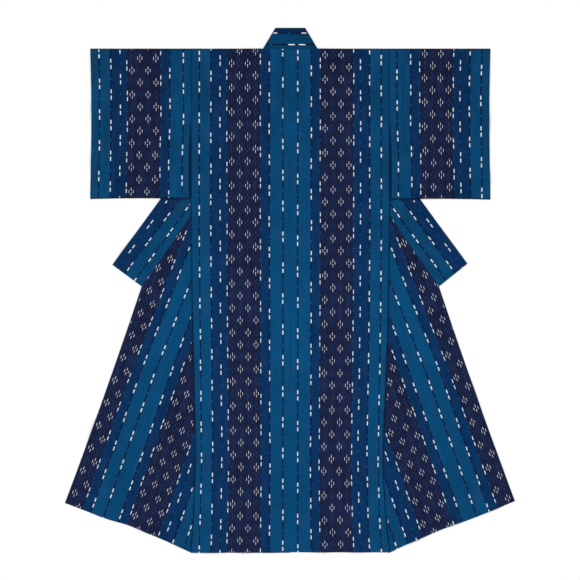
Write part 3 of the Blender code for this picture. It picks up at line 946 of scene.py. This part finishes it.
back_cloth = indigo_silk("back_silk", 0.97)
for side in ("left", "right"):
    points = []
    for height in ROWS:
        y = HEM_Y + height + BACK_HEM_RISE[side] * sink(height, 0.0, HEM_FADE)
        start = side_x(side, height)
        neck = start + (-NECK_HALF - side_x(side, BODY_LENGTH)) * start / side_x(side, BODY_LENGTH)
        neck = max(neck, front_edge_x(side, height)) if height > BODY_LENGTH - ROW_STEP else neck
        centre = -SEAM_GAP / 2
        outer_part = [start + (neck - start) * i / OUTER_COLUMNS for i in range(OUTER_COLUMNS)]
        inner_part = [neck + (centre - neck) * i / NECK_COLUMNS for i in range(NECK_COLUMNS)]
        columns = [start + distance for distance in CLOSE_ROWS] + outer_part[1:]
        columns += inner_part + [centre - distance for distance in reversed(CLOSE_ROWS)]
        sway = SWAY_TAKEN * (start + HALF_BACK) / HALF_BACK
        line = []
        for x in columns:
            from_fixed = min(x - start, centre - x, BODY_LENGTH - FOLD_OUTER - height)
            calm = 1.0 - sink(from_fixed, 0.0, CALM_RAMP)
            z = PITCH * (over_wing(x, y) + over_front(x, y))
            z += puff(min(from_fixed, height)) + calm * ridges(BACK_RIDGES[side], x, y)
            # The rim puts painted shade along the side edge where the back lies on the front, along the
            # shoulder fold beside the collar, and fainter along the hem
            top = BODY_LENGTH - height if abs(x) > NECK_HALF else FAR
            line.append(((x, y, z), (-x * (1 + sway), height), (x - start, min(height + FREE_EDGE, top))))
        points.append(line)
    top_line = points[-1]
    for bulge, sunk in half_round(FOLD_INNER):
        points.append([((x, y + bulge, z - sunk), cut, rim) for (x, y, z), cut, rim in top_line])
    fold_start = len(ROWS) - 1
    past_neck = OUTER_COLUMNS + 2
    back = lay_cloth("back_" + side + "_cloth", back_cloth, points, BACK_START[side],
                     right=side == "right", absent=lambda r, c: r >= fold_start and c >= past_neck)
    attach(back, "root")
    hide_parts("back_" + side)


# Sleeves. One length of silk each, folded at the shoulder line, sewn along the bottom and up the
# lower part of the cuff; the wrist opening above it stands a little open.
SLEEVE_WIDTH = 0.3285
WRIST_OPENING = 0.2300
SLEEVE_COLUMNS = 42
SLEEVE_ROWS = 50
WRIST_LIFT = 0.0022
WRIST_REACH = 0.070
SLEEVE_START = {"left": 3.529, "right": 4.584}

# Distance down from the shoulder, and how far the cuff edge bows in
CUFF_BOW = rows_of("drop inset", (0.000, 0.0000), (0.142, 0.0036), (0.300, 0.0033), (0.491, 0.0000))

# Distance in from the cuff, and how far the sleeve's bottom edge bows up
SLEEVE_BOTTOM = rows_of("along rise", (0.000, 0.0000), (0.116, 0.0023), (0.229, 0.0023), (0.328, 0.0000))

# Soft ridges of the sleeves
SLEEVE_RIDGES = {
    "left": ridge_rows(
        (-345, 560, -560, 340, 49, 4.4), (-480, 740, -440, 420, 43, 3.2), (-600, 700, -590, 380, 46, 3.6),
        (-760, 620, -520, 560, 32, 4.0), (-740, 400, -530, 450, 30, 3.6)),
    "right": ridge_rows(
        (-350, 610, -520, 330, 53, 4.4), (-430, 750, -460, 460, 39, 2.9), (-620, 660, -560, 360, 49, 4.0),
        (-770, 520, -540, 590, 34, 4.2), (-730, 370, -560, 360, 28, 3.4)),
}


def sleeve_place(side, share_down, share_in):
    """A point of the flat sleeve, by its share down from the shoulder and in from the cuff."""
    length = SLEEVE_DROP[side]
    drop = length * share_down
    body = side_x(side, BODY_LENGTH - drop)
    inner = body - SEAM_GAP - slit_width(drop)
    cuff = -HALF_BACK - SLEEVE_WIDTH + read(CUFF_BOW, "drop", drop, "inset")
    x = cuff + (inner - cuff) * share_in
    rise = read(SLEEVE_BOTTOM, "along", SLEEVE_WIDTH * share_in, "rise") * share_down
    return x, SHOULDER_Y - drop + rise - FOLD_OUTER * (1 - 2 * share_down)


def wrist_gape(drop, from_cuff):
    """How far the upper layer stands off at the wrist opening."""
    if drop >= WRIST_OPENING:
        return 0.0
    return WRIST_LIFT * math.sin(math.pi * drop / WRIST_OPENING) ** 2 * sink(from_cuff, 0.0, WRIST_REACH)


sleeve_cloth = indigo_silk("sleeve_silk", 0.93)
shares_in = [d / SLEEVE_WIDTH for d in spread(SLEEVE_WIDTH, SLEEVE_COLUMNS)]
for side in ("left", "right"):
    length = SLEEVE_DROP[side]
    shares_down = [d / length for d in spread(length, SLEEVE_ROWS)]

    def layer(share_down, upper=False):
        """One row of the tube, on its lower or upper layer."""
        line = []
        for share_in in shares_in:
            x, y = sleeve_place(side, share_down, share_in)
            drop = length * share_down
            from_cuff, from_body = SLEEVE_WIDTH * share_in, SLEEVE_WIDTH * (1 - share_in)
            from_fixed = min(from_body, drop, length - drop)
            z = PITCH * over_wing(x, y)
            if upper:
                z += 2 * FOLD_OUTER
                calm = 1.0 - sink(from_fixed, 0.0, CALM_RAMP)
                z += puff(min(from_fixed, from_cuff)) + calm * ridges(SLEEVE_RIDGES[side], x, y)
                z += wrist_gape(drop, from_cuff)
            cut = (from_body * WOVEN_WIDTH / SLEEVE_WIDTH, drop if upper else -drop)
            # Below the armhole seam the edge by the slit gets painted shade; the cuff and the folds along
            # top and bottom get it too
            gap = from_body if drop > ARMHOLE_SEAM else FAR
            line.append(((x, y, z), cut, (min(from_cuff, gap), min(drop, length - drop))))
        return line

    def fold(share_down, outward_y):
        """Half round rows from one layer to the other; outward_y is the way that they bulge."""
        lines = []
        for bulge, sunk in half_round(FOLD_OUTER)[:-1]:
            level = sunk if outward_y > 0 else 2 * FOLD_OUTER - sunk
            lines.append([((x, y + bulge * outward_y, z + level), cut, rim)
                          for (x, y, z), cut, rim in layer(share_down)])
        return lines

    points = [layer(share) for share in reversed(shares_down)] + fold(0.0, 1)
    points += [layer(share, upper=True) for share in shares_down] + fold(1.0, -1)
    points.append(points[0])
    count = len(shares_down)

    def close_cuff(work, table):
        """Close the cuff edge below the wrist opening."""
        lower = [table[count - 1 - i][0] for i in range(count)]
        first_upper = count + BEND_STEPS - 1
        higher = [table[first_upper + i][0] for i in range(count)]
        for i in range(count - 1):
            if length * shares_down[i] >= WRIST_OPENING:
                work.faces.new((lower[i], higher[i], higher[i + 1], lower[i + 1]))
        bottom = [table[first_upper + count + k][0] for k in range(BEND_STEPS - 1)]
        work.faces.new([lower[-1], higher[-1]] + bottom)

    sleeve = lay_cloth("sleeve_" + side + "_cloth", sleeve_cloth, points, SLEEVE_START[side],
                       right=side == "right", cap=close_cuff)
    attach(sleeve, "root")
    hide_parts("sleeve_" + side)


# Sewing. Blind stitches of indigo silk thread hold the turned-in hems, overlap edges and wrist
# openings, a short one about every 12 mm; bar tacks end the armhole seams and the wrist openings.
STITCH_HALF = (0.0015, 0.00030, 0.00024)
STITCH_ROUND = (8, 5)
STITCH_PITCH = 0.012
STITCH_SHIFT = 0.12
STITCH_SWAY = 0.0008
SHIFT_BEAT = (7.3, 40.0)
SWAY_BEAT = (3.1, 25.0)
HEM_DEPTH = 0.009
EDGE_DEPTH = 0.007
BACK_ROW_INSET = 0.006
COVER_CLEAR = 0.004
FRONT_ROW_MM = range(20, 280, 24)
OKUMI_ROW_MM = range(296, 437, 20)
EDGE_ROW = (0.014, OVERLAP_EDGE - 0.010)
EDGE_ROW_PARTS = 24
CUFF_ROW_PARTS = 8
CUFF_ROW_START = 0.012
TACK_INSET = 0.002
TACK_PITCH = 0.0012
TACK_COUNT = 4
ABOVE_ALL = 0.1
THREAD_TWIST = {"Scale": 900.0, "Distortion": 1.5}
THREAD_FINISH = {"Roughness": 0.55, "Specular IOR Level": 0.2}

thread = bpy.data.materials.new("silk_thread")
thread.use_nodes = True
thread_nodes, thread_links = thread.node_tree.nodes, thread.node_tree.links
thread_place = thread_nodes.new("ShaderNodeTexCoord")
twist = thread_nodes.new("ShaderNodeTexWave")
twist.bands_direction = "DIAGONAL"
set_sockets(twist, THREAD_TWIST)
thread_tone = thread_nodes.new("ShaderNodeMix")
thread_tone.data_type = "RGBA"
thread_tone.inputs[6].default_value = dye("mid")
thread_tone.inputs[7].default_value = dye("pale_blue")
thread_links.new(thread_place.outputs["Object"], twist.inputs["Vector"])
thread_links.new(twist.outputs["Fac"], thread_tone.inputs[0])
thread_shader = thread_nodes["Principled BSDF"]
thread_links.new(thread_tone.outputs[2], thread_shader.inputs["Base Color"])
set_sockets(thread_shader, THREAD_FINISH)


def stitch_places(row):
    """Places and directions of blind stitches along a row of points."""
    places = []
    for (x0, y0), (x1, y1) in zip(row, row[1:]):
        run = math.hypot(x1 - x0, y1 - y0)
        count = max(1, round(run / STITCH_PITCH))
        for i in range(count):
            share = (i + 0.5 + STITCH_SHIFT * math.sin(SHIFT_BEAT[0] * i + SHIFT_BEAT[1] * x0)) / count
            aside = STITCH_SWAY * math.sin(SWAY_BEAT[0] * i + SWAY_BEAT[1] * y0)
            across = (-(y1 - y0) / run * aside, (x1 - x0) / run * aside)
            places.append((x0 + (x1 - x0) * share + across[0], y0 + (y1 - y0) * share + across[1],
                           math.atan2(y1 - y0, x1 - x0)))
    return places


def sew(name, cloth, places, right):
    """One mesh of thread stitches, each lying on the cloth under its place."""
    bpy.ops.object.select_all(action="DESELECT")
    bpy.ops.mesh.primitive_uv_sphere_add(segments=STITCH_ROUND[0], ring_count=STITCH_ROUND[1])
    stitches = bpy.context.object
    stitches.name = name
    one = stitches.data.copy()
    work = bmesh.new()
    for x, y, turn in places:
        if right:
            x, turn = -x, -turn
        found, place, normal, _ = cloth.ray_cast((x, y, ABOVE_ALL), (0, 0, -1))
        if not found:
            continue
        lie = Vector((0, 0, 1)).rotation_difference(normal).to_matrix().to_4x4()
        shape = Matrix.Rotation(turn, 4, "Z") @ Matrix.Diagonal(STITCH_HALF + (1.0,))
        first_new = len(work.verts)
        work.from_mesh(one)
        work.verts.ensure_lookup_table()
        bmesh.ops.transform(work, matrix=Matrix.Translation(place) @ lie @ shape,
                            verts=work.verts[first_new:])
    work.to_mesh(stitches.data)
    work.free()
    bpy.data.meshes.remove(one)
    stitches.data.materials.append(thread)
    bpy.ops.object.shade_smooth()
    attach(stitches, "root")


def hem_places(side, row_mm):
    """Points along the front's hem, turned outward, at distances in from its side seam."""
    return [turn_out(u / 1000, hem_rise(side, u / 1000, 0.0) + HEM_DEPTH) for u in row_mm]


def tack_places(x, y, turn):
    """A bar tack: stitches side by side, all turned the same way."""
    offsets = [(i - (TACK_COUNT - 1) / 2) * TACK_PITCH for i in range(TACK_COUNT)]
    return [(x - math.sin(turn) * off, y + math.cos(turn) * off, turn) for off in offsets]


bpy.context.view_layer.update()
for side in ("left", "right"):
    cloth_of = {part: bpy.data.objects[part + "_" + side + "_cloth"]
                for part in ("back", "front", "okumi", "sleeve")}
    right = side == "right"

    low = HEM_Y + BACK_HEM_RISE[side] + HEM_DEPTH
    back_row = [(-HALF_BACK + BACK_ROW_INSET, low), (-BACK_ROW_INSET, low)]
    armhole_tack = tack_places(side_x(side, BODY_LENGTH - ARMHOLE_SEAM) + TACK_INSET,
                               SHOULDER_Y - ARMHOLE_SEAM, 0.0)
    sew("back_stitches_" + side, cloth_of["back"],
        stitch_places(back_row) + armhole_tack, right)

    hem_row = [point for point in hem_places(side, FRONT_ROW_MM) if from_cover(side, *point) > COVER_CLEAR]
    sew("front_stitches_" + side, cloth_of["front"], stitch_places(hem_row), right)

    edge_row = []
    for i in range(EDGE_ROW_PARTS + 1):
        height = EDGE_ROW[0] + (EDGE_ROW[1] - EDGE_ROW[0]) * i / EDGE_ROW_PARTS
        u = overlap_outer(height) - EDGE_DEPTH
        edge_row.append(turn_out(u, height + hem_rise(side, u, height)))
    sew("okumi_stitches_" + side, cloth_of["okumi"],
        stitch_places(hem_places(side, OKUMI_ROW_MM)) + stitch_places(edge_row), right)

    inset = EDGE_DEPTH / SLEEVE_WIDTH
    wrist_share = WRIST_OPENING / SLEEVE_DROP[side]
    cuff_row = [sleeve_place(side, CUFF_ROW_START + wrist_share * i / CUFF_ROW_PARTS, inset)
                for i in range(CUFF_ROW_PARTS)]
    cuff_x, cuff_y = sleeve_place(side, wrist_share, inset / 2)
    sew("sleeve_stitches_" + side, cloth_of["sleeve"],
        stitch_places(cuff_row) + tack_places(cuff_x, cuff_y, 0.0), right)
